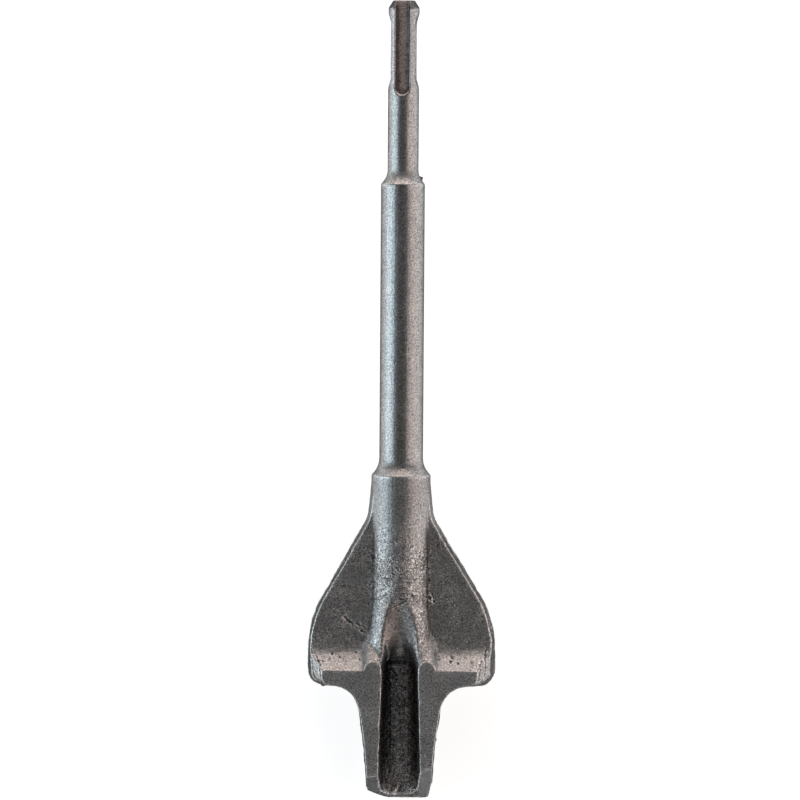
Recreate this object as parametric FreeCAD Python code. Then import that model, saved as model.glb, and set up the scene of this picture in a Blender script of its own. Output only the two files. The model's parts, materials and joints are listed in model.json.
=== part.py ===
import FreeCAD
import Part
import math
import os

# A winged channel chisel for a rotary hammer, drop-forged in one piece.
#
# The tool lies on its back. It runs along Y, with the shank's end at +Y and the cutting edge at -Y, and its
# open side faces up. The origin is under the middle of its box, on the surface that it lies on.
#
# Inside this file a place is given by (x, s, z): x across the tool, s along it from the end face of the
# shank, and z above the tool's axis, which is also the height of the forging's parting plane.

# Shank, with its two drive slots and two ball grooves
shank_d = 10.0
shank_length = 54.6
shank_end_d = 7.0
shank_chamfer_length = 2.4
slot_floor_width = 3.7
slot_floor_height = 2.9
slot_flank_angle = 22.0
slot_floor_length = 29.4
slot_end_angle = 29.0
groove_floor_height = 3.0
groove_r = 5.7
groove_near_end = 4.3
groove_length = 23.8
groove_clocking = 6.3

# Round body and the collar that ends it
body_d = 14.2
body_length = 88.7
shoulder_angle = 37.5
shoulder_fillet = 5.5
collar_d = 19.2
flare_angle = 41.0
flare_fillet = 7.0
boss_length = 35.0

# Wings: the outline at the parting plane
wing_root_gap = 2.0
wing_root_length = 11.7
wing_root_swell = 1.2
wing_root_fillet = 10.0
wing_angle = 30.3
wing_span = 61.0
wing_bend_r = 34.0
wing_length = 66.6
wing_corner_r = 5.5
wing_foot_corner_r = 3.0
wing_armpit_r = 9.0

# Wings: the section through them
web_front = 4.0
web_back = 2.5
ramp_angle = 42.0
ramp_fillet = 9.0
foot_length = 5.7
runner_r = 24.0
wing_draft = 15.0
wing_shoulder_height = 5.5
wing_shoulder_draft = 41.0
foot_draft = 4.5

# Gouge
gouge_length = 38.1
gouge_root_width = 29.3
gouge_waist_width = 23.3
gouge_waist_length = 18.6
gouge_waist_reach = 7.0
gouge_edge_width = 20.8
gouge_draft = 2.5
rim_height = 10.0
keel_draft = 4.0
keel_corner_r = 4.0
keel_root_flat = 0.2
keel_grind = 0.3
keel_stations = 4
flash_step = 0.25

# Trough of the gouge and the crotch where it runs out into the boss
trough_width = 11.6
trough_edge_width = 14.4
trough_floor_thickness = 3.1
trough_wall_angle = 5.2
trough_corner_share = 0.7
trough_end_gap = 6.7
crotch_length = 24.6
crotch_slope = 18.5
crotch_lip = 0.15
crotch_tip_share = 0.03
crotch_valley_share = 0.06
crotch_stations = 9

# Powers of the crotch: higher ones open its rims sooner, drop its floor later and keep its V sharper
crotch_fullness = 4.0
crotch_plunge = 9.0
crotch_opening = 5.0

# The two legs beside the crotch, and the arches that end them
leg_flare = 3.7
leg_flare_stations = 4
arch_width = 5.6
arch_spacing = 17.5
arch_foot_width = 8.6
arch_foot_spacing = 15.8
arch_run = 11.7

# Cutting edge: the bevel is ground by hand and starts further back on one side, and one back corner is worn
bevel_start_left = 9.3
bevel_start_right = 12.2
edge_corner_left = 5.5
edge_corner_right = 1.8

# How far a cutting solid reaches past the metal that it cuts
overrun = 4.0

# Stations along the tool, all measured from the end face of the shank
shank_r = shank_d / 2
body_r = body_d / 2
collar_r = collar_d / 2


def flare_run(small_r, large_r, fillet_r, angle):
    """Length of a flare: a hollow fillet off the smaller cylinder, then a cone up to the larger one."""
    a = math.radians(angle)
    cone_rise = large_r - small_r - fillet_r * (1 - math.cos(a))
    return fillet_r * math.sin(a) + cone_rise / math.tan(a)


body_start = shank_length + flare_run(shank_r, body_r, shoulder_fillet, shoulder_angle)
body_end = body_start + body_length
collar_start = body_end + flare_run(body_r, collar_r, flare_fillet, flare_angle)
boss_end = collar_start + boss_length
wing_start = collar_start + wing_root_gap
wing_end = wing_start + wing_length
foot_start = wing_end - foot_length
total_length = wing_end + gouge_length


def at(x, s, z):
    """The point of the model at x across, s along from the shank's end face and z above the axis."""
    return FreeCAD.Vector(x, total_length / 2 - s, collar_r + z)


def along(length):
    """A vector down the tool, from the shank towards the cutting edge."""
    return FreeCAD.Vector(0, -length, 0)


# Outlines with rounded corners

def rounded_wire(corners):
    """A closed wire through (point, radius) corners. Each radius over zero rounds its corner."""
    starts = []
    edges = []
    count = len(corners)
    for i, (corner, radius) in enumerate(corners):
        before = corners[i - 1][0]
        after = corners[(i + 1) % count][0]
        if radius == 0:
            starts.append((corner, corner))
            continue
        back = (before - corner).normalize()
        ahead = (after - corner).normalize()
        half_angle = back.getAngle(ahead) / 2
        reach = radius / math.tan(half_angle)
        middle = corner + (back + ahead).normalize() * (radius / math.sin(half_angle) - radius)
        first = corner + back * reach
        last = corner + ahead * reach
        starts.append((first, last))
        edges.append((i, Part.Arc(first, middle, last).toShape()))
    arcs = dict(edges)
    ordered = []
    for i in range(count):
        if i in arcs:
            ordered.append(arcs[i])
        ordered.append(Part.LineSegment(starts[i][1], starts[(i + 1) % count][0]).toShape())
    return Part.Wire(ordered)


def crossing(a, b, c, d):
    """Where the line through a and b meets the line through c and d, each an (x, s) pair."""
    ab = (b[0] - a[0], b[1] - a[1])
    cd = (d[0] - c[0], d[1] - c[1])
    cross = ab[0] * cd[1] - ab[1] * cd[0]
    t = ((c[0] - a[0]) * cd[1] - (c[1] - a[1]) * cd[0]) / cross
    return (a[0] + t * ab[0], a[1] + t * ab[1])


def leaned_in(points, leans):
    """An open outline of (x, s) points, each side moved inwards by its own lean. The ends keep their s."""
    sides = []
    for (a, b), lean in zip(zip(points, points[1:]), leans):
        length = math.hypot(b[0] - a[0], b[1] - a[1])
        shift = ((a[1] - b[1]) / length * lean, (b[0] - a[0]) / length * lean)
        sides.append(((a[0] + shift[0], a[1] + shift[1]), (b[0] + shift[0], b[1] + shift[1])))
    first_s = points[0][1]
    last_s = points[-1][1]
    moved = [crossing(*sides[0], (0, first_s), (1, first_s))]
    for one, other in zip(sides, sides[1:]):
        moved.append(crossing(*one, *other))
    moved.append(crossing(*sides[-1], (0, last_s), (1, last_s)))
    return moved


def mirrored_wire(points, radii, z):
    """A closed wire at height z from the right half of an outline and its mirror image."""
    right = [(at(x, s, z), r) for (x, s), r in zip(points, radii)]
    left = [(at(-x, s, z), r) for (x, s), r in zip(points, radii)]
    return rounded_wire(right + left[::-1])


def between(lower, upper):
    """The solid between two like outlines at different heights."""
    return Part.makeLoft([lower, upper], True, True)


# Outline of the forging at its parting plane

knee = (collar_r + wing_root_swell, wing_start + wing_root_length)
half_span = wing_span / 2
shoulder_s = knee[1] + (half_span - knee[0]) / math.tan(math.radians(wing_angle))
root_angle = math.atan((gouge_root_width - gouge_waist_width) / 2 / gouge_waist_length)
edge_angle = math.atan((gouge_waist_width - gouge_edge_width) / 2 / (gouge_length - gouge_waist_length))
waist_r = gouge_waist_reach / math.tan(abs(root_angle - edge_angle) / 2)
gouge_corners = [
    ((gouge_waist_width / 2, wing_end + gouge_waist_length), waist_r),
    ((gouge_edge_width / 2, total_length), 0.0),
]


def wing_corners(outer_r):
    """Right half of the wings' outline as (place, radius) corners. The outer front corner gets outer_r."""
    return [
        ((collar_r, wing_start), 0.0),
        (knee, wing_root_fillet),
        ((half_span, shoulder_s), wing_bend_r),
        ((half_span, wing_end), outer_r),
        ((gouge_root_width / 2, wing_end), wing_armpit_r),
    ]


def split(corners):
    """The places and the radii of a list of corners, apart."""
    return [place for place, _ in corners], [radius for _, radius in corners]


def side_leans(height, draft):
    """How far each side of the head leans in over a height. Foot and gouge have drafts of their own."""
    wing_lean = height * math.tan(math.radians(draft))
    foot_lean = height * math.tan(math.radians(foot_draft))
    gouge_lean = height * math.tan(math.radians(gouge_draft))
    return [wing_lean, wing_lean, wing_lean, foot_lean, gouge_lean, gouge_lean]


def head_top():
    """Upper half of the head: flanks with a small draft, then wide shoulders up to the front plane."""
    points, radii = split(wing_corners(wing_corner_r) + gouge_corners)
    top_radii = split(wing_corners(wing_foot_corner_r) + gouge_corners)[1]
    shoulder_rise = rim_height - wing_shoulder_height
    shoulder_points = leaned_in(points, side_leans(wing_shoulder_height, wing_draft))
    top_points = leaned_in(shoulder_points, side_leans(shoulder_rise, wing_shoulder_draft))
    shoulder_wire = mirrored_wire(shoulder_points, radii, wing_shoulder_height)
    flanks = between(mirrored_wire(points, radii, 0), shoulder_wire)
    return flanks.fuse(between(shoulder_wire, mirrored_wire(top_points, top_radii, rim_height)))


def web_relief():
    """What the upper die presses away above the wings: a flat web that sweeps up to the front plane."""
    ramp_run = (rim_height - web_front) / math.tan(math.radians(ramp_angle))
    top = rim_height + overrun
    top_run = overrun / math.tan(math.radians(ramp_angle))
    near = wing_start - overrun
    corners = [
        (at(-wing_span, near, web_front), 0.0),
        (at(-wing_span, foot_start - ramp_run, web_front), ramp_fillet),
        (at(-wing_span, foot_start + top_run, top), 0.0),
        (at(-wing_span, near, top), 0.0),
    ]
    return Part.Face(rounded_wire(corners)).extrude(FreeCAD.Vector(2 * wing_span, 0, 0))


def wing_back():
    """Lower half of the wings, whose front edge is rounded up like a runner."""
    (waist, _), *_ = gouge_corners
    points, radii = split(wing_corners(wing_corner_r) + [(waist, 0.0)])
    lean = flash_step + web_back * math.tan(math.radians(wing_draft))
    parting_points = leaned_in(points, [flash_step] * (len(points) - 1))
    back_points = leaned_in(points, [lean] * (len(points) - 1))
    plate = between(mirrored_wire(back_points, radii, -web_back), mirrored_wire(parting_points, radii, 0))
    return plate.cut(runner_relief())


def runner_relief():
    """What is rounded off under the front edge of the wings."""
    run = math.sqrt(runner_r ** 2 - (runner_r - web_back) ** 2)
    start = at(-wing_span, wing_end - run, -web_back)
    end = at(-wing_span, wing_end, 0)
    half_turn = math.asin(run / runner_r) / 2
    middle = at(-wing_span, wing_end - run + runner_r * math.sin(half_turn),
                -web_back + runner_r * (1 - math.cos(half_turn)))
    far_top = at(-wing_span, total_length, 0)
    far_low = at(-wing_span, total_length, -web_back - overrun)
    near_low = at(-wing_span, wing_end - run, -web_back - overrun)
    edges = [Part.Arc(start, middle, end).toShape()]
    for a, b in ((end, far_top), (far_top, far_low), (far_low, near_low), (near_low, start)):
        edges.append(Part.LineSegment(a, b).toShape())
    return Part.Face(Part.Wire(edges)).extrude(FreeCAD.Vector(2 * wing_span, 0, 0))


def keel_section(s, half_width, depth, left_r, right_r):
    """The lower half of the forging at s: sides with a little draft and a round-cornered bottom."""
    draft = math.tan(math.radians(keel_draft))
    left_foot = half_width - (depth - left_r) * draft
    right_foot = half_width - (depth - right_r) * draft
    return rounded_wire([
        (at(-half_width, s, 0), 0.0),
        (at(-left_foot, s, -depth), left_r),
        (at(right_foot, s, -depth), right_r),
        (at(half_width, s, 0), 0.0),
    ])


def keel_root():
    """Where the back grows out of the round boss: half circles that widen and square themselves."""
    root = gouge_root_width / 2 - flash_step
    round_r = collar_r - keel_root_flat / 2
    wires = []
    for i in range(keel_stations + 1):
        share = i / keel_stations
        ease = share ** 2 * (3 - 2 * share)
        corner_r = round_r + (keel_corner_r - round_r) * ease
        wires.append(keel_section(boss_end + (wing_end - boss_end) * share,
                                  collar_r + (root - collar_r) * ease,
                                  collar_r, corner_r, corner_r))
    return Part.makeLoft(wires, True, False)


def keel():
    """Lower half of the gouge, ground flat on the back so that it lies steady."""
    (waist, waist_s), (edge, edge_s) = split(gouge_corners)[0]
    depth = collar_r + keel_grind
    wires = [
        keel_section(wing_end, gouge_root_width / 2 - flash_step, collar_r, keel_corner_r, keel_corner_r),
        keel_section(waist_s, waist - flash_step, depth, keel_corner_r, keel_corner_r),
        keel_section(edge_s, edge - flash_step, depth, edge_corner_left, edge_corner_right),
    ]
    corner = at(-wing_span, total_length + overrun, -collar_r - overrun)
    ground = Part.makeBox(2 * wing_span, total_length - wing_end + overrun, overrun, corner)
    return Part.makeLoft(wires, True, True).cut(ground)


# Round parts

def spindle():
    """Shank, body, collar and boss, turned about the axis."""
    shoulder = math.radians(shoulder_angle)
    flare = math.radians(flare_angle)
    edges = []

    def line(a, b):
        edges.append(Part.LineSegment(at(a[0], a[1], 0), at(b[0], b[1], 0)).toShape())

    def hollow(start_r, start_s, fillet_r, angle):
        half = angle / 2
        middle = (start_r + fillet_r * (1 - math.cos(half)), start_s + fillet_r * math.sin(half))
        end = (start_r + fillet_r * (1 - math.cos(angle)), start_s + fillet_r * math.sin(angle))
        arc = Part.Arc(at(start_r, start_s, 0), at(middle[0], middle[1], 0), at(end[0], end[1], 0))
        edges.append(arc.toShape())
        return end

    line((0, 0), (shank_end_d / 2, 0))
    line((shank_end_d / 2, 0), (shank_r, shank_chamfer_length))
    line((shank_r, shank_chamfer_length), (shank_r, shank_length))
    cone_foot = hollow(shank_r, shank_length, shoulder_fillet, shoulder)
    line(cone_foot, (body_r, body_start))
    line((body_r, body_start), (body_r, body_end))
    cone_foot = hollow(body_r, body_end, flare_fillet, flare)
    line(cone_foot, (collar_r, collar_start))
    line((collar_r, collar_start), (collar_r, boss_end))
    line((collar_r, boss_end), (0, boss_end))
    line((0, boss_end), (0, 0))
    profile = Part.Face(Part.Wire(edges))
    return profile.revolve(at(0, 0, 0), along(1), 360)


def leg_half_width(s):
    """Half the width of the boss at s, where it spreads into the two legs beside the trough."""
    return collar_r + leg_flare * ((s - boss_end) / (foot_start - boss_end)) ** 2


def leg_height(x, s):
    """Height of the legs' upper side above the axis."""
    return collar_r * math.sqrt(1 - (x / leg_half_width(s)) ** 2)


def leg_roots():
    """The two legs in one: ovals that widen from the round boss towards the gouge."""
    wires = []
    for i in range(leg_flare_stations + 1):
        s = boss_end + (foot_start - boss_end) * i / leg_flare_stations
        widening = FreeCAD.Matrix()
        widening.scale(leg_half_width(s) / collar_r, 1, 1)
        circle = Part.Circle(at(0, s, 0), along(1), collar_r)
        wires.append(Part.Wire(circle.toShape().transformGeometry(widening)))
    return Part.makeLoft(wires, True, False)


def arch(side):
    """The rounded end of a leg: a leaning column whose top meets the ground front plane in an arch."""
    top = at(side * arch_spacing / 2, foot_start, rim_height)
    foot = at(side * arch_foot_spacing / 2, foot_start - arch_run, 0)
    rings = []
    for centre, width in ((foot, arch_foot_width), (top, arch_width)):
        circle = Part.Circle(centre, FreeCAD.Vector(0, 0, 1), width / 2)
        rings.append(Part.Wire(circle.toShape()))
    column = Part.makeLoft(rings, True, True)
    corner = at(top.x - wing_span / 2, foot_start, 0)
    keep = Part.makeBox(wing_span, 2 * arch_run, rim_height, corner)
    return column.common(keep)


# What is cut away

def ball_groove(side):
    """A closed groove for the chuck's locking ball, with round ends."""
    x = side * (groove_floor_height + groove_r)
    end_run = math.sqrt(groove_r ** 2 - (x - side * shank_r) ** 2)
    first = at(x, groove_near_end + end_run, 0)
    last = at(x, groove_near_end + groove_length - end_run, 0)
    bar = Part.makeCylinder(groove_r, (last - first).Length, first, along(1))
    return bar.fuse([Part.makeSphere(groove_r, first), Part.makeSphere(groove_r, last)])


def drive_slot():
    """An open drive slot on the upper side, with leaning flanks and a scooped end."""
    half_floor = slot_floor_width / 2
    height = shank_r + overrun - slot_floor_height
    half_mouth = half_floor + height * math.tan(math.radians(slot_flank_angle))
    scoop_s = slot_floor_length - half_floor
    scoop_top_r = half_floor + height * math.tan(math.radians(slot_end_angle))
    corners = [
        at(-half_floor, -overrun, slot_floor_height),
        at(half_floor, -overrun, slot_floor_height),
        at(half_mouth, -overrun, slot_floor_height + height),
        at(-half_mouth, -overrun, slot_floor_height + height),
    ]
    slot = Part.Face(Part.makePolygon(corners + corners[:1])).extrude(along(scoop_s + overrun))
    scoop = Part.makeCone(half_floor, scoop_top_r, height, at(0, scoop_s, slot_floor_height),
                          FreeCAD.Vector(0, 0, 1))
    return slot.fuse(scoop)


def shank_cuts():
    """The two drive slots and two ball grooves, turned a little from the head as on the real tool."""
    cuts = [ball_groove(1), ball_groove(-1), drive_slot(), drive_slot()]
    cuts[-1].rotate(at(0, 0, 0), along(1), 180)
    for cut in cuts:
        cut.rotate(at(0, 0, 0), along(1), groove_clocking)
    return cuts


def trough_section(s, rim_x, rim_z, floor_x, floor_z):
    """A hollow across the tool at s, from its rims down to its floor, with rounded floor corners."""
    top_z = rim_height + overrun
    lean = (rim_x - floor_x) / (rim_z - floor_z)
    top_x = floor_x + lean * (top_z - floor_z)
    corner_angle = math.pi / 2 + math.atan(lean)
    corner_r = trough_corner_share * floor_x * math.tan(corner_angle / 2)
    return rounded_wire([
        (at(-top_x, s, top_z), 0.0),
        (at(-floor_x, s, floor_z), corner_r),
        (at(floor_x, s, floor_z), corner_r),
        (at(top_x, s, top_z), 0.0),
    ])


floor_height = trough_floor_thickness - collar_r
trough_end = wing_end - trough_end_gap
wall_slope = math.tan(math.radians(trough_wall_angle))
wall_lean = (rim_height - floor_height) * wall_slope


def trough():
    """The straight part of the gouge's hollow, a little wider at the cutting edge."""
    past = total_length + overrun
    widening = (trough_edge_width - trough_width) / (total_length - trough_end) * overrun
    near = trough_width / 2
    far = (trough_edge_width + widening) / 2
    return Part.makeLoft([
        trough_section(trough_end, near, rim_height, near - wall_lean, floor_height),
        trough_section(past, far, rim_height, far - wall_lean, floor_height),
    ], True, True)


def crotch():
    """The end of the hollow: a valley that starts in a point on the boss and widens down to the trough."""
    floor_x = trough_width / 2 - wall_lean
    slope_fall = crotch_length * math.tan(math.radians(crotch_slope))
    wires = []
    for i in range(crotch_stations + 1):
        share = crotch_tip_share + (1 - crotch_tip_share) * i / crotch_stations
        s = trough_end - crotch_length * (1 - share)
        spread = 1 - (1 - share) ** crotch_fullness
        fall = slope_fall * share + (collar_r - floor_height - slope_fall) * share ** crotch_plunge
        lip = crotch_lip * (1 - share)
        rim_z = leg_height(trough_width / 2 * spread, s) + lip
        rim_x = (floor_x + (rim_z - floor_height) * wall_slope) * spread
        valley_z = collar_r - fall + lip
        opened = crotch_valley_share + (1 - crotch_valley_share) * share ** crotch_opening
        wires.append(trough_section(s, rim_x, rim_z, floor_x * opened, valley_z))
    return Part.makeLoft(wires, True, False)


def bevel():
    """What is ground off the tip: a face from the front plane down to the cutting edge on the back."""
    reach = wing_span / 4
    depth = rim_height + collar_r

    def station(x, z):
        middle = (bevel_start_left + bevel_start_right) / 2
        skew = (bevel_start_right - bevel_start_left) / gouge_edge_width
        return total_length - (middle + skew * x) * (z + collar_r) / depth

    low = -collar_r - overrun
    high = rim_height + overrun
    lower = Part.LineSegment(at(-reach, station(-reach, low), low), at(reach, station(reach, low), low))
    upper = Part.LineSegment(at(-reach, station(-reach, high), high), at(reach, station(reach, high), high))
    return Part.makeRuledSurface(lower.toShape(), upper.toShape()).extrude(along(gouge_length))


def chisel():
    """The whole forging."""
    head = head_top().cut(web_relief())
    metal = spindle().fuse([head, wing_back(), keel_root(), keel(), leg_roots(), arch(1), arch(-1)])
    metal = metal.cut([trough(), crotch(), bevel()] + shank_cuts())
    return metal.removeSplitter()


def main():
    """Builds the tool and writes it."""
    os.makedirs("parts", exist_ok=True)
    solid = chisel()
    solid.exportStep("parts/channel_chisel.step")
    print("volume mm3", round(solid.Volume), "solids", len(solid.Solids), "valid", solid.isValid())


main()
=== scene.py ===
import json
import math

import bpy
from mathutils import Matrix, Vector, noise
from mathutils.kdtree import KDTree


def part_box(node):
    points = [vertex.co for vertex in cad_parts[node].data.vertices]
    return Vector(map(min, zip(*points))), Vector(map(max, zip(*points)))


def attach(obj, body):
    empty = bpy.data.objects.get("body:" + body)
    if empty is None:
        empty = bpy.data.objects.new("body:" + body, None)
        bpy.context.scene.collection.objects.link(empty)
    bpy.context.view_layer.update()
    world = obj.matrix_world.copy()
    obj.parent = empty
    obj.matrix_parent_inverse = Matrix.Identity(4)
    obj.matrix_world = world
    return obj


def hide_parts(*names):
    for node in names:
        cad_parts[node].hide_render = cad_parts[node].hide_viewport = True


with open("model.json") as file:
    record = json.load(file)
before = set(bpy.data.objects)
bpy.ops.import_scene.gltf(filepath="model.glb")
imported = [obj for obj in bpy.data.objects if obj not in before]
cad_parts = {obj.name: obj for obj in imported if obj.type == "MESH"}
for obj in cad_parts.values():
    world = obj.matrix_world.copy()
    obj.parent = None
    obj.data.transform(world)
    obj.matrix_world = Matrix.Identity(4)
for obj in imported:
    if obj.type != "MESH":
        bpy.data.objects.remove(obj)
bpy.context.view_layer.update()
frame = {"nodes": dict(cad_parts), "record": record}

# Inside this script a place is (x, s, h) in millimetres: x across the tool, s along it from the shank's
# end, and h above its axis. The forging's parting plane is at h = 0 and the ground front plane at front_h.
MM = 0.001
low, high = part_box("channel_chisel")
shank_mount = next(m for m in frame["record"]["mounts"] if m["name"] == "shank")
axis_z = shank_mount["pos_m"][2]
tip_s = (high[1] - low[1]) / MM

# Stations along the tool, and half-widths and heights of its forms
shank_chamfer_s = 2.4
slot_end_s = 29.4
neck_s = 59.4
collar_s = 153.4
forged_s = 166
hammered_s = 170
legs_s = 188.4
legs_length = 28
trough_s = 215.3
boss_foot_x = 8.8
legs_foot_spread = 3.4
trough_floor_h = -6.5
web_h = 4.0
front_h = 10.0

# Skin of the forging: its voxels, the points that it joins, its rounds of smoothing and its triangles
voxel_size = 0.3
weld_distance = 0.001
crest_rounds = 60
edge_rounds = 9
wear_and_shade_rounds = 8
weight_steps = 20
most_triangles = 190000

# How far one die had slipped, and the wear of the tip: a curve off one back corner, the other one rounded
die_slip = 0.54
worn_from_x = -2.3
worn_rate = 0.125
worn_power = 1.6
rounded_from_x = 8.2
rounded_rate = 0.37
rounded_width = 2.5

# Depths below or above the smoothed skin at which dark scale and painted shade, or bare metal, begin to show,
# and show in full
wear_and_shade_depths = (0.01, 0.07)

# Steel: its tone from patch to patch, its tone's factors where the painted layers are 1, and its roughness
tone_low = 0.30
tone_high = 0.50
# The hollows' factor darkens them with dark scale and with painted shade
hollow_scale_and_shade_tone = 0.28
edge_tone = 1.5
ground_tone = 1.4
hammered_tone = 1.5
# The bevel's factor darkens the tip's bevel as painted shade
bevel_shade_tone = 0.6
slot_tone = 1.5
# The trough's factor darkens its walls and corners as painted shade
trough_shade_tone = 0.5
# The lip's factor brightens the torn lip as a painted highlight
lip_highlight_tone = 5.0
brown_green = 0.82
brown_blue = 0.75
edge_tint = 0.1
roughness_turned = 0.34
roughness_dull = 0.43
patch_roughness = 0.05
hollow_roughness = 0.12
edge_roughness = 0.08
slot_roughness = 0.2

# Sizes of the steel's lumps, the contrast of its grain and the heights of its relief
patch_size = 7
rust_size = 3.5
worm_size = 1.3
worm_swirl = 2.4
grain_size = 0.5
relief_size = 0.55
plain_contrast = 2.3
hammered_contrast = 1.0
bevel_contrast = 0.8
worm_contrast = 12.0
worm_brightest = 0.2
worm_middle = 0.09
darkest_grain = 0.15
grain_height = 0.06
worm_height = 0.22
ground_relief = 1.3
bevel_relief = 0.5

# Camera: its foot on the tool, its distance and its small tilt and roll, worked out from the photograph,
# then its lens and sensor in millimetres and how far it sees in metres
camera_s = 35.14
camera_x = -1.12
camera_distance = 1600
camera_tilt = 3.36
camera_roll = 0.38
camera_lens = 222.6
camera_sensor = 36
camera_reach = 10

# Studio: lamps by their angle from straight up, their size and radiance, the radiance of the room, and
# the floor's half-width in metres, its gap below the tool in millimetres, its colour and its glow
lamp_distance = 1.3
lamp_left_angle = 81
lamp_left_size = (0.54, 1.9)
lamp_left_radiance = (1.56, 1.93, 2.13)
lamp_right_angle = 67
lamp_right_size = (0.95, 1.9)
lamp_right_radiance = (0.88, 0.72, 0.66)
lamp_past_angle = 78
lamp_past_size = (1.6, 0.7)
lamp_past_radiance = (1.62, 1.31, 1.18)
ceiling_angle = 25
wall_angle = 60
ceiling_radiance = 0.095
wall_radiance = 0.30
floor_reach = 3.0
floor_gap = 0.3
floor_white = 0.9
floor_glow = 0.76

# Pits, dents and burrs that the photograph shows: place, radius and height. A pit's height is below zero.
spots = [
    ((5.9, 57.2, 0.0), 0.75, 0.8),
    ((5.3, 78.0, 4.9), 0.6, -0.15),
    ((0.6, 150.3, 8.6), 0.6, -0.25),
    ((-21.7, 211.3, 5.4), 0.6, -0.35),
    ((-14.2, 211.0, 5.2), 0.5, -0.3),
    ((16.7, 212.1, 6.0), 0.6, -0.4),
    ((16.5, 213.4, 7.2), 0.55, -0.4),
    ((18.8, 213.9, 7.7), 0.5, -0.35),
    ((23.3, 213.8, 7.5), 0.7, -0.15),
    ((12.9, 213.0, 6.9), 0.35, -0.25),
    ((20.9, 212.3, 6.1), 0.35, -0.25),
    ((-22.9, 212.9, 6.8), 0.35, -0.25),
    ((-19.4, 212.4, 6.2), 0.4, -0.3),
    ((-17.6, 213.6, 7.4), 0.35, -0.25),
    ((-13.0, 212.9, 6.8), 0.4, -0.3),
    ((-25.0, 213.5, 7.3), 0.7, -0.15),
    ((-24.7, 222.2, 0.0), 0.9, 0.5),
    ((-11.2, 226.6, 10.0), 1.7, -0.07),
    ((11.7, 239.8, 0.0), 0.7, 0.5),
    ((8.9, 243.6, 10.0), 0.45, -0.25),
    ((9.6, 246.8, 10.0), 0.5, -0.3),
    ((9.2, 248.4, 10.0), 0.45, -0.25),
]

# Gashes, cracks and a torn lip: from, to, radius and height
torn_lip = ((-0.5, 254.8, -6.3), (-1.6, 258.2, -6.3), 0.85, 1.4)
lines = [
    ((-18.6, 198.9, 4.0), (-15.4, 201.6, 4.0), 0.75, -0.65),
    ((-17.4, 200.4, 4.0), (-14.2, 202.6, 4.0), 0.6, -0.6),
    ((-14.4, 201.6, 4.0), (-11.4, 202.9, 4.0), 0.7, -0.6),
    ((-13.4, 203.2, 4.0), (-10.8, 204.6, 4.0), 0.65, -0.65),
    ((9.6, 190.5, 4.2), (11.5, 195.5, 4.0), 0.7, -0.4),
    ((-28.6, 209.5, 5.0), (-26.8, 219.5, 5.5), 0.5, -0.4),
    ((-27.0, 211.0, 7.5), (-24.6, 218.5, 8.6), 0.45, -0.35),
    ((28.0, 208.5, 6.0), (27.2, 217.5, 6.8), 0.5, -0.4),
    ((26.6, 212.0, 8.2), (24.6, 219.5, 8.4), 0.45, -0.35),
    ((-6.6, 190.6, 7.1), (-4.4, 189.3, 8.1), 0.45, -0.3),
    ((-3.9, 190.9, 8.4), (-5.9, 193.0, 7.4), 0.45, -0.25),
    ((-4.8, 208.7, 7.3), (-3.8, 213.2, 2.5), 0.75, -0.8),
    ((-2.6, 215.2, -6.4), (3.6, 215.5, -6.4), 0.7, -0.8),
    ((-1.8, 222.6, -6.5), (2.0, 223.7, -6.5), 0.5, -0.5),
    ((-2.8, 216.8, -6.5), (-1.0, 219.5, -6.5), 0.55, -0.45),
    ((-3.1, 217.0, -6.4), (-3.0, 246.0, -6.4), 0.5, -0.35),
    ((2.9, 221.0, -6.4), (2.8, 251.0, -6.4), 0.5, -0.3),
    torn_lip,
]


def link(name, data):
    """A new object with this data in the scene."""
    made = bpy.data.objects.new(name, data)
    bpy.context.scene.collection.objects.link(made)
    return made


def place(co):
    """(x, s, h) of a point of the frame."""
    return co[0] / MM, (high[1] - co[1]) / MM, (co[2] - axis_z) / MM


def point_at(x, s, h):
    """The point of the frame at this place."""
    return Vector((x * MM, high[1] - s * MM, axis_z + h * MM))


def ramp(value, start, end):
    """0 before start, 1 after end, and a smooth step between them."""
    t = min(max((value - start) / (end - start), 0.0), 1.0)
    return t * t * (3 - 2 * t)


def within(value, start, end, fade):
    """1 between start and end, 0 outside them, with a smooth fade just inside both."""
    return ramp(value, start, start + fade) * (1 - ramp(value, end - fade, end))


# Skin of the forging

def with_modifiers(piece):
    """A new mesh: the piece's mesh with its modifiers applied."""
    return bpy.data.meshes.new_from_object(piece.evaluated_get(bpy.context.evaluated_depsgraph_get()))


def apply_modifiers(piece):
    """Leaves the piece with its modified mesh and no modifiers."""
    mesh = with_modifiers(piece)
    piece.modifiers.clear()
    old = piece.data
    piece.data = mesh
    bpy.data.meshes.remove(old)


def smooth_modifier(piece, rounds, group=""):
    """A smoothing of the piece, as strong as the rounds and the group's weights say."""
    modifier = piece.modifiers.new("smooth", "SMOOTH")
    modifier.factor = 0.5
    modifier.iterations = rounds
    modifier.vertex_group = group


def fine_skin(node):
    """A fine even skin of the CAD solid."""
    piece = link("chisel_forging", node.data.copy())
    piece.data.materials.clear()
    weld = piece.modifiers.new("weld", "WELD")
    weld.merge_threshold = weld_distance * MM
    remesh = piece.modifiers.new("remesh", "REMESH")
    remesh.mode = "VOXEL"
    remesh.voxel_size = voxel_size * MM
    apply_modifiers(piece)
    return piece


def weigh(piece, name, share):
    """A vertex group whose weights come from share(x, s, h)."""
    group = piece.vertex_groups.new(name=name)
    members = {}
    for vertex in piece.data.vertices:
        step = round(share(*place(vertex.co)) * weight_steps)
        if step:
            members.setdefault(step, []).append(vertex.index)
    for step, indices in members.items():
        group.add(indices, step / weight_steps, "REPLACE")


def below_front(h):
    """1 below the ground front plane and 0 on it."""
    return 1 - ramp(h, front_h - 0.6, front_h - 0.2)


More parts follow.
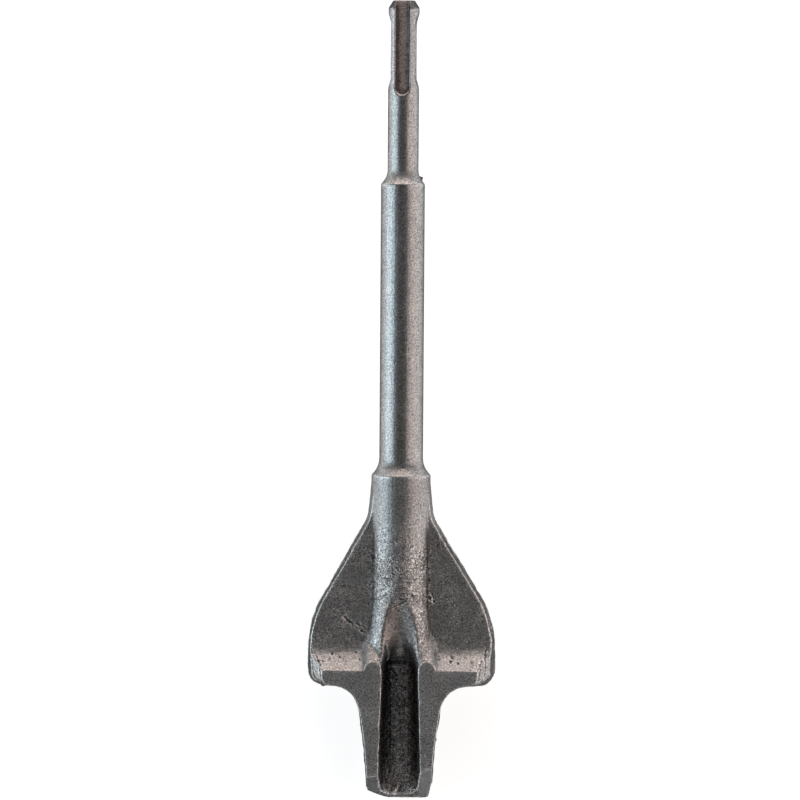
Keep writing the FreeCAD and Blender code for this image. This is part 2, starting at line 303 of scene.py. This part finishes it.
def crest_share(x, s, h):
    """1 on the legs' crests, round the crotch and at the feet of the ramps, where the real forms are soft."""
    crests = within(s, 185, 217, 4) * (1 - ramp(abs(x), 8, 9.5)) * ramp(h, 2.5, 5)
    ends = within(s, 203, 217, 4) * within(abs(x), 4, 16, 3) * ramp(h, 3.2, 4.6)
    feet = within(s, 201, 214, 4) * within(abs(x), 10, 28, 3) * within(h, 2, 8, 1.5)
    return max(crests, ends, feet) * below_front(h)


def edge_share(x, s, h):
    """1 where the tool is as forged, 0 on turned and ground faces, and a little along the drive slots."""
    before_bevel = 1 - ramp(s, tip_s - 16, tip_s - 14)
    before_slot_end = 1 - ramp(s, slot_end_s + 1, slot_end_s + 2)
    slot_edges = before_slot_end * ramp(abs(h), 3.4, 4) * (1 - ramp(abs(x), 3.2, 3.6))
    return max(ramp(s, forged_s - 12, forged_s) * below_front(h) * before_bevel, slot_edges)


def soften(piece):
    """Rounds the forged edges, and more so the crests beside the crotch."""
    weigh(piece, "crests", crest_share)
    weigh(piece, "edges", edge_share)
    smooth_modifier(piece, crest_rounds, "crests")
    smooth_modifier(piece, edge_rounds, "edges")
    apply_modifiers(piece)


def cloud(point, size, octaves=3):
    """Soft noise about 0, with lumps of that size in millimetres."""
    return noise.fractal(point / size, 1.0, 2.0, octaves)


def furrows(point, size):
    """Rounded worm-like lumps with sharp furrows between them, from -1 in a furrow to about 1 on a lump."""
    return 4 * abs(noise.noise(point / size)) - 1


def ground_share(h, normal):
    """1 on the ground front plane of the gouge and the wings' feet."""
    return ramp(h, front_h - 0.5, front_h - 0.2) * ramp(normal.z, 0.85, 0.97)


def in_trough(x, s, h):
    """1 inside the gouge's hollow."""
    return ramp(s, trough_s - 7, trough_s) * (1 - ramp(h, 6, 9.7)) * (1 - ramp(abs(x), 6.6, 7.6))


def rubbed_band(x, s, h):
    """1 along the band of the gouge's floor that the chips rub, which ends before the tip."""
    before_tip = 1 - 0.8 * ramp(s, tip_s - 8, tip_s - 4)
    on_floor = 1 - ramp(h, trough_floor_h + 1.5, trough_floor_h + 3.5)
    return within(x, -2.9, 4.0, 1.8) * before_tip * on_floor


def trough_shade_share(x, s, h):
    """1 on the walls and in the corners of the gouge's hollow, first on one side: painted shade, left off the
    rubbed band.
    """
    start = trough_s - 0.5 - 6.5 * (1 - ramp(x, -4, -2))
    return in_trough(x, s, h) * ramp(s, start, start + 2.5) * (1 - rubbed_band(x, s, h))


def hammer_share(x, s):
    """How rough the hammered skin is: 1 in its patches on the boss, less on the wings and in the crotch."""
    along = ramp(s, forged_s - 6, hammered_s + 8)
    across = 1 - 0.4 * ramp(abs(x), 9, 10.5)
    crotch = within(s, 193, 218, 5) * (0.6 - 0.25 * ramp(abs(x), 3.5, 6) - 0.35 * ramp(abs(x), 9, 11))
    ramps = 0.4 * within(s, 206, 220, 3) * ramp(abs(x), 10, 12)
    roughest = ramp(s, 176, 184) * (1 - ramp(abs(x), 9, 11))
    patch = ramp(cloud(Vector((x, s, 0)), 8, 2), -0.25, 0.3)
    return along * across * (1 - crotch - ramps) * (0.45 + 0.4 * roughest + 0.5 * patch)


def skin_height(point, x, s, h, normal):
    """How far the forged and blasted skin stands above the plain form there, in millimetres."""
    forged = ramp(s, forged_s - 6, forged_s + 10)
    before_bevel = 1 - ramp(s, tip_s - 12, tip_s - 9)
    rough = forged * (1 - ground_share(h, normal)) * before_bevel
    hammered = rough * hammer_share(x, s)
    trough = in_trough(x, s, h)
    flank = ramp(abs(x), 10, 12) * (1 - ramp(abs(normal.z), 0.5, 0.8)) * forged
    long_point = Vector((point.x, point.y * 0.5, point.z))
    height = 0.008 * cloud(point, 0.7)
    height += rough * (0.06 * cloud(point, 6) + 0.03 * cloud(point, 1.5))
    height += hammered * (0.05 * furrows(point, 1.9) + 0.05 * cloud(point, 3.0))
    height += trough * (0.12 * cloud(long_point, 2.2) + 0.06 * furrows(long_point, 1.7))
    height += flank * (0.18 * cloud(point, 7) + 0.09 * cloud(point, 1.8))
    height += flank * (1 - ramp(abs(h - 0.1), 0.15, 0.5)) * (0.1 + 0.14 * cloud(point, 3))
    return height


def slipped(x, s, h):
    """How far the lower die stood to the right of the upper one when the wings were struck."""
    on_wing = ramp(abs(x), 12, 18) * ramp(s, 172, 190) * (1 - ramp(s, 223, 226))
    return die_slip * on_wing * (1 - ramp(h, 0, front_h))


def worn_limit(x):
    """The furthest that the tip reaches: one back corner is worn away and the other is rounded."""
    worn = worn_rate * max(worn_from_x - x, 0) ** worn_power
    rounded = rounded_rate * min(max(x - rounded_from_x, 0), rounded_width) ** 2
    return tip_s - worn - rounded


def forge(piece):
    """Moves the skin's points for what striking, trimming and blasting leave on it."""
    mesh = piece.data
    normals = [Vector(n.vector) for n in mesh.vertex_normals]
    for vertex, normal in zip(mesh.vertices, normals):
        x, s, h = place(vertex.co)
        height = skin_height(vertex.co / MM, x, s, h, normal)
        moved = vertex.co + normal * height * MM
        moved.x += slipped(x, s, h) * MM
        moved.y = max(moved.y, high[1] - worn_limit(x) * MM)
        vertex.co = moved


def line_spots():
    """The gashes and lips as rows of spots that wander and vary a little."""
    found = []
    for start, end, radius, height in lines:
        a = Vector(start)
        b = Vector(end)
        count = max(int((b - a).length / (radius * 0.5)), 2)
        for i in range(count + 1):
            along = a.lerp(b, i / count)
            wander = noise.noise_vector(along * 0.9) * radius * 0.7
            swing = 0.75 + 0.6 * noise.noise(along * 1.7)
            spot = (along.x + wander.x, along.y + wander.y, along.z)
            found.append((spot, radius * swing, height * 0.55 * swing))
    return found


def scar(piece):
    """Presses the pits and gashes into the skin and raises the burrs, each with a ragged outline."""
    mesh = piece.data
    tree = KDTree(len(mesh.vertices))
    for vertex in mesh.vertices:
        tree.insert(vertex.co, vertex.index)
    tree.balance()
    for spot, radius, height in spots + line_spots():
        centre, nearest, _ = tree.find(point_at(*spot))
        outward = Vector(mesh.vertex_normals[nearest].vector)
        for co, index, distance in tree.find_range(centre, 1.5 * radius * MM):
            ragged = radius * (1 + 0.5 * noise.noise(co / MM / 0.6))
            share = max(1 - (distance / (ragged * MM)) ** 2, 0)
            mesh.vertices[index].co += outward * height * share ** 1.5 * MM


def thin_out(piece):
    """Fewer triangles where the skin is plain."""
    mesh = piece.data
    mesh.calc_loop_triangles()
    share = most_triangles / len(mesh.loop_triangles)
    if share < 1:
        decimate = piece.modifiers.new("decimate", "DECIMATE")
        decimate.ratio = share
        apply_modifiers(piece)
    for polygon in piece.data.polygons:
        polygon.use_smooth = True


# What the material reads from the skin

def hollows(piece):
    """How far each point lies below a smoothed copy of the skin, in millimetres. Edges lie above it."""
    copy = link("smoothed_copy", piece.data.copy())
    smooth_modifier(copy, wear_and_shade_rounds)
    smoothed = with_modifiers(copy)
    depths = []
    for before, after, normal in zip(piece.data.vertices, smoothed.vertices, piece.data.vertex_normals):
        depths.append((after.co - before.co).dot(normal.vector) / MM)
    bpy.data.objects.remove(copy)
    bpy.data.meshes.remove(smoothed)
    return depths


def crease_shade_share(x, s, h):
    """1 along the foot of the boss and its legs, in the corner with the wings, where painted shade darkens
    the crease.
    """
    foot_x = boss_foot_x + legs_foot_spread * (max(s - legs_s, 0) / legs_length) ** 2
    along = within(s, forged_s + 2, 207, 5)
    return along * (1 - ramp(abs(abs(x) - foot_x), 0.2, 0.7)) * (1 - ramp(abs(h - web_h - 0.3), 0.6, 1.2))


def near_burr(x, s, h):
    """1 on the burrs, which scale has left dark."""
    share = 0.0
    for (burr_x, burr_s, burr_h), radius, height in spots:
        if height > 0:
            away = math.dist((x, s, h), (burr_x, burr_s, burr_h))
            share = max(share, 1 - ramp(away, 0.9 * radius, 1.4 * radius))
    return share


def lip_highlight_share(x, s, h):
    """1 on the torn lip at the end of the trough: bare metal with a painted highlight on it."""
    start, end, radius, _ = torn_lip
    line = Vector(end) - Vector(start)
    offset = Vector((x, s, h)) - Vector(start)
    along = min(max(offset.dot(line) / line.length_squared, 0), 1)
    return 1 - ramp((offset - along * line).length, 0.6 * radius, 1.3 * radius)


def rust_share(x, s):
    """How much rust there is down one side of the crotch."""
    return 0.6 * within(s, 190, 214, 7) * within(x, -7, 1, 2)


def in_slot(x, s, h, up):
    """1 on the floor of the upper drive slot, which was milled and then scaled brown."""
    before_end = 1 - ramp(s, slot_end_s - 1, slot_end_s)
    return before_end * ramp(h, 2, 2.4) * (1 - ramp(h, 3.3, 3.8)) * ramp(up.z, 0.85, 0.95)


def paint(piece):
    """Layers for the material: (dull, ground, bevel), (hammered, hollow scale and painted shade, edge),
    (slot, painted highlight on the lip, painted shade in the trough), rust.
    """
    mesh = piece.data
    names = ("zones", "wear_and_shade", "slot_and_painted_light", "stain")
    for name in names:
        mesh.color_attributes.new(name, "FLOAT_COLOR", "POINT")
    zones, wear_and_shade, slot_and_painted_light, stain = [mesh.color_attributes[name] for name in names]
    for vertex, normal, depth in zip(mesh.vertices, mesh.vertex_normals, hollows(piece)):
        x, s, h = place(vertex.co)
        up = normal.vector
        dull = max(ramp(s, collar_s - 5, collar_s), within(s, neck_s - 6, neck_s + 0.2, 2))
        ground = ground_share(h, up)
        bevel = ramp(-up.y, 0.6, 0.85) * ramp(s, tip_s - 14, tip_s - 12.5) * (1 - 0.6 * in_trough(x, s, h))
        # The wings' side faces are darkened as painted shade, except on the corner facets and along the
        # parting line
        flank = ramp(s, forged_s, forged_s + 8) * (1 - ramp(up.z, 0.3, 0.6)) * ramp(abs(x), 9, 11)
        facet = ramp(s, 208, 213) * ramp(abs(x), 22, 25) * ramp(up.z, 0.3, 0.6)
        parting = flank * (1 - ramp(abs(h - 0.1), 0.35, 0.7))
        # The shank's end chamfer is darkened as painted shade
        end_face = 0.9 * (1 - ramp(s, shank_chamfer_s, shank_chamfer_s + 0.5)) * (1 - ramp(up.z, 0.9, 0.97))
        # dark gathers the painted shade of the boss's crease, the wings' side faces and the shank's end
        # chamfer, and the scale on the burrs
        dark = max(crease_shade_share(x, s, h), near_burr(x, s, h), 0.8 * (flank - parting) * (1 - facet), end_face)
        # Where the skin lies below its smoothed copy it is darkened by dark scale and by painted shade, and
        # dark is added to that
        hollow = max(ramp(depth, *wear_and_shade_depths) * (1 - parting), dark)
        worn = max(ramp(-depth, *wear_and_shade_depths), 0.5 * parting)
        hammered = hammer_share(x, s) * (1 - ground) * (1 - bevel)
        # lip is the torn lip's painted highlight
        lip = lip_highlight_share(x, s, h)
        # The trough's walls and corners get painted shade, except on worn edges and on the lip
        trough_shade = trough_shade_share(x, s, h) * (1 - max(worn, lip))
        zones.data[vertex.index].color = (dull, ground, bevel, 1)
        wear_and_shade.data[vertex.index].color = (hammered, hollow, worn, 1)
        slot_and_painted_light.data[vertex.index].color = (in_slot(x, s, h, up), lip, trough_shade, 1)
        stain.data[vertex.index].color = (rust_share(x, s) * ramp(up.z, 0, 0.3), 0, 0, 1)


# Material

def new_node(material, kind, **values):
    """A node of this kind in the material, with its own properties set."""
    node = material.node_tree.nodes.new(kind)
    for name, value in values.items():
        setattr(node, name, value)
    return node


def feed(material, socket, value):
    """Sets an input to a number, or links it to another node's output."""
    if isinstance(value, bpy.types.NodeSocket):
        material.node_tree.links.new(value, socket)
    else:
        socket.default_value = value


def calc(material, operation, a, b):
    """The result of a maths operation on two values."""
    node = new_node(material, "ShaderNodeMath", operation=operation)
    feed(material, node.inputs[0], a)
    feed(material, node.inputs[1], b)
    return node.outputs[0]


def blend(material, share, a, b):
    """a where share is 0 and b where it is 1."""
    node = new_node(material, "ShaderNodeMix", data_type="FLOAT")
    feed(material, node.inputs[0], share)
    feed(material, node.inputs[2], a)
    feed(material, node.inputs[3], b)
    return node.outputs[0]


def layer(material, name):
    """The three values of a painted layer."""
    read = new_node(material, "ShaderNodeAttribute", attribute_name=name)
    split = new_node(material, "ShaderNodeSeparateColor")
    material.node_tree.links.new(read.outputs["Color"], split.inputs[0])
    return split.outputs


def lumps(material, where, size, detail, swirl=0.0):
    """Noise from 0 to 1 with lumps of that size in millimetres."""
    node = new_node(material, "ShaderNodeTexNoise")
    material.node_tree.links.new(where, node.inputs["Vector"])
    node.inputs["Scale"].default_value = 1 / (size * MM)
    node.inputs["Detail"].default_value = detail
    node.inputs["Roughness"].default_value = 0.6
    node.inputs["Distortion"].default_value = swirl
    return node.outputs["Fac"]


def tinge(material, tone, share, factor):
    """The tone, multiplied by the factor where share is 1."""
    return calc(material, "MULTIPLY", tone, blend(material, share, 1.0, factor))


def brown_of(material, where, tone, hammered, slot, lip, stained):
    """The tone as a colour: a breath of brown where the skin rusts, more in the slot, and the pinkish tint of
    the painted highlight on the lip.
    """
    rust = calc(material, "MULTIPLY", lumps(material, where, rust_size, 4), hammered)
    rust = calc(material, "MAXIMUM", calc(material, "MULTIPLY", rust, 0.3), stained)
    brown = calc(material, "MAXIMUM", calc(material, "MAXIMUM", rust, slot), lip)
    colour = new_node(material, "ShaderNodeCombineColor")
    feed(material, colour.inputs[0], tone)
    feed(material, colour.inputs[1], tinge(material, tone, brown, brown_green))
    feed(material, colour.inputs[2], tinge(material, tone, brown, brown_blue))
    return colour.outputs[0]


def winding(material, where):
    """Winding furrows of a hammered skin: 0 in a furrow and up to about 0.4 on the lumps between."""
    coarse = lumps(material, where, worm_size, 1, worm_swirl)
    return calc(material, "ABSOLUTE", calc(material, "SUBTRACT", coarse, 0.5), 0.0)


def speckled(material, where, tone, worms, hammered, bevel):
    """The tone with the light and dark grain of blasted steel, in worms where it was hammered."""
    contrast = blend(material, hammered, plain_contrast, hammered_contrast)
    contrast = tinge(material, contrast, bevel, bevel_contrast)
    grain = calc(material, "SUBTRACT", lumps(material, where, grain_size, 1), 0.5)
    grain = calc(material, "MULTIPLY", grain, contrast)
    light = calc(material, "SUBTRACT", calc(material, "MINIMUM", worms, worm_brightest), worm_middle)
    swing = calc(material, "MULTIPLY", light, calc(material, "MULTIPLY", hammered, worm_contrast))
    swing = calc(material, "ADD", calc(material, "ADD", swing, grain), 1.0)
    return calc(material, "MULTIPLY", tone, calc(material, "MAXIMUM", swing, darkest_grain))


def relief(material, where, worms, hammered, ground, bevel):
    """Height of the grain in millimetres: blasted all over, with winding furrows where it was hammered."""
    grain = calc(material, "MULTIPLY", lumps(material, where, relief_size, 1), grain_height)
    furrowed = calc(material, "MULTIPLY", calc(material, "MULTIPLY", worms, hammered), worm_height)
    height = calc(material, "ADD", grain, furrowed)
    height = tinge(material, height, ground, ground_relief)
    return tinge(material, height, bevel, bevel_relief)


def steel():
    """Hot-forged and shot-blasted steel, with dark scale and painted shade in its hollows, painted shade in
    the gouge's trough and on the tip's bevel, a painted highlight on the torn lip, and a ground front and
    bevel.
    """
    material = bpy.data.materials.new("forged_steel_skin")
    material.use_nodes = True
    shader = material.node_tree.nodes["Principled BSDF"]
    shader.inputs["Metallic"].default_value = 1.0
    shader.inputs["Specular Tint"].default_value = (edge_tint, edge_tint, edge_tint, 1)
    where = new_node(material, "ShaderNodeTexCoord").outputs["Object"]
    dull, ground, bevel = layer(material, "zones")[:3]
    hammered, hollow, edge = layer(material, "wear_and_shade")[:3]
    slot, lip, trough_shade = layer(material, "slot_and_painted_light")[:3]
    stained = layer(material, "stain")[0]
    worms = winding(material, where)

    patches = lumps(material, where, patch_size, 4)
    tone = blend(material, patches, tone_low, tone_high)
    tone = speckled(material, where, tone, worms, hammered, bevel)
    # Of these factors, the hollows' is dark scale and painted shade, the bevel's and the trough's are painted
    # shade, and the lip's is a painted highlight
    factors = (
        (hollow, hollow_scale_and_shade_tone), (edge, edge_tone), (ground, ground_tone), (hammered, hammered_tone),
        (bevel, bevel_shade_tone), (slot, slot_tone), (trough_shade, trough_shade_tone), (lip, lip_highlight_tone),
    )
    for share, factor in factors:
        tone = tinge(material, tone, share, factor)
    feed(material, shader.inputs["Base Color"], brown_of(material, where, tone, hammered, slot, lip, stained))

    roughness = blend(material, dull, roughness_turned, roughness_dull)
    roughness = calc(material, "ADD", roughness, blend(material, patches, -patch_roughness, patch_roughness))
    roughness = calc(material, "ADD", roughness, blend(material, hollow, 0.0, hollow_roughness))
    roughness = calc(material, "SUBTRACT", roughness, blend(material, edge, 0.0, edge_roughness))
    roughness = calc(material, "ADD", roughness, blend(material, slot, 0.0, slot_roughness))
    feed(material, shader.inputs["Roughness"], roughness)

    bump = new_node(material, "ShaderNodeBump")
    bump.inputs["Strength"].default_value = 1.0
    bump.inputs["Distance"].default_value = MM
    feed(material, bump.inputs["Height"], relief(material, where, worms, hammered, ground, bevel))
    feed(material, shader.inputs["Normal"], bump.outputs["Normal"])
    return material


# Studio

def floor():
    """A pale floor that the camera and mirror-like surfaces see as white, with the tool's shadow on it."""
    sides = ((-1, -1), (1, -1), (1, 1), (-1, 1))
    corners = [(x * floor_reach, y * floor_reach, 0) for x, y in sides]
    mesh = bpy.data.meshes.new("studio_floor")
    mesh.from_pydata(corners, [], [(0, 1, 2, 3)])
    piece = link("studio_floor", mesh)
    piece.location.z = -floor_gap * MM
    material = bpy.data.materials.new("studio_floor")
    material.use_nodes = True
    shader = material.node_tree.nodes["Principled BSDF"]
    shader.inputs["Base Color"].default_value = (floor_white, floor_white, floor_white, 1)
    shader.inputs["Roughness"].default_value = 1.0
    shader.inputs["Specular IOR Level"].default_value = 0.0
    shader.inputs["Emission Color"].default_value = (1, 1, 1, 1)
    path = new_node(material, "ShaderNodeLightPath")
    seen = calc(material, "MAXIMUM", path.outputs["Is Camera Ray"], path.outputs["Is Glossy Ray"])
    seen = calc(material, "MAXIMUM", seen, path.outputs["Is Transmission Ray"])
    glow = calc(material, "MULTIPLY", seen, floor_glow)
    material.node_tree.links.new(glow, shader.inputs["Emission Strength"])
    mesh.materials.append(material)


def softbox(name, towards, size, radiance):
    """A rectangular lamp in that direction from the tool's middle, facing it, with an even radiance."""
    brightest = max(radiance)
    lamp = bpy.data.lights.new(name, "AREA")
    lamp.shape = "RECTANGLE"
    lamp.size = size[0]
    lamp.size_y = size[1]
    lamp.energy = brightest * math.pi * size[0] * size[1]
    lamp.color = [part / brightest for part in radiance]
    made = link(name, lamp)
    made.location = Vector(towards).normalized() * lamp_distance
    made.rotation_euler = Vector(towards).to_track_quat("Z", "Y").to_euler()


def room():
    """A dim room, darker straight above the tool."""
    world = bpy.data.worlds.new("room")
    world.use_nodes = True
    nodes = world.node_tree.nodes
    links = world.node_tree.links
    direction = nodes.new("ShaderNodeTexCoord")
    split = nodes.new("ShaderNodeSeparateXYZ")
    links.new(direction.outputs["Generated"], split.inputs[0])
    shade = nodes.new("ShaderNodeMapRange")
    shade.interpolation_type = "SMOOTHSTEP"
    shade.inputs["From Min"].default_value = math.cos(math.radians(ceiling_angle))
    shade.inputs["From Max"].default_value = math.cos(math.radians(wall_angle))
    shade.inputs["To Min"].default_value = ceiling_radiance
    shade.inputs["To Max"].default_value = wall_radiance
    links.new(split.outputs["Z"], shade.inputs["Value"])
    links.new(shade.outputs["Result"], nodes["Background"].inputs["Color"])
    bpy.context.scene.world = world


def studio():
    """A cool lamp on the left and warmer ones on the right and past the shank, in a dim room."""
    left = math.radians(lamp_left_angle)
    right = math.radians(lamp_right_angle)
    past = math.radians(lamp_past_angle)
    softbox("lamp_left", (-math.sin(left), 0, math.cos(left)), lamp_left_size, lamp_left_radiance)
    softbox("lamp_right", (math.sin(right), 0, math.cos(right)), lamp_right_size, lamp_right_radiance)
    softbox("lamp_past_shank", (0, math.sin(past), math.cos(past)), lamp_past_size, lamp_past_radiance)
    room()


def camera():
    """The photograph's camera, far above the tool and looking down at it."""
    data = bpy.data.cameras.new("camera")
    data.lens = camera_lens
    data.sensor_width = camera_sensor
    data.clip_end = camera_reach
    made = link("camera", data)
    made.location = (camera_x * MM, high[1] - camera_s * MM, axis_z + camera_distance * MM)
    made.rotation_euler = (-math.radians(camera_tilt), 0, math.radians(camera_roll))
    bpy.context.scene.camera = made


piece = fine_skin(frame["nodes"]["channel_chisel"])
soften(piece)
forge(piece)
scar(piece)
thin_out(piece)
paint(piece)
piece.data.materials.append(steel())
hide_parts("channel_chisel")
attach(piece, "root")

floor()
studio()
camera()
bpy.context.scene.view_settings.view_transform = "Standard"
